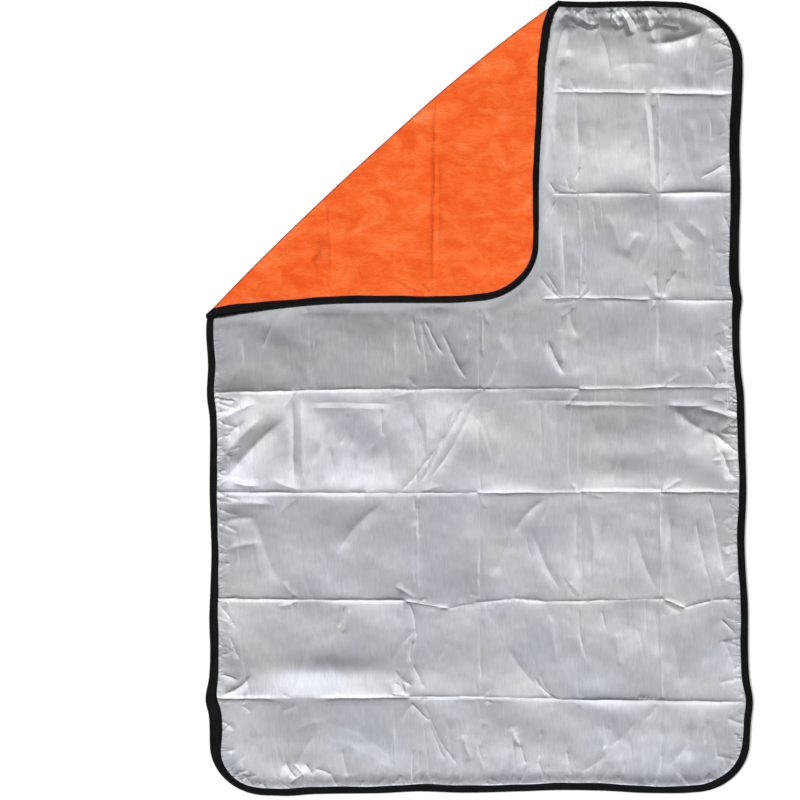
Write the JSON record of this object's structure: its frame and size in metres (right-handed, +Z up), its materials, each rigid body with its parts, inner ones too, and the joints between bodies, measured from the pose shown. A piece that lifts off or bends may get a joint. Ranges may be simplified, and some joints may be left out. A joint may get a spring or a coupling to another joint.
{
  "type": "emergency foil blanket",
  "caption": "Rectangular foil blanket with rounded corners and a bound edge, lying open with one corner folded over to show its backing.",
  "frame": {"origin": "on the surface it lies on, below the middle of its bounding box", "axes": "+X across the blanket, +Y along it towards the end with the folded corner, +Z up"},
  "size_m": [1.1044, 1.813, 0.0139],
  "materials": {
    "silver_foil": "satin metallised film, creased where it was packed",
    "orange_cloth": "matt fibrous non-woven cloth with faint mottled streaks",
    "black_tape": "matt woven tape folded over the edge"
  },
  "bodies": {
    "root": {"foil_face": "silver_foil", "orange_backing": "orange_cloth", "edge_binding": "black_tape"}
  },
  "joints": []
}
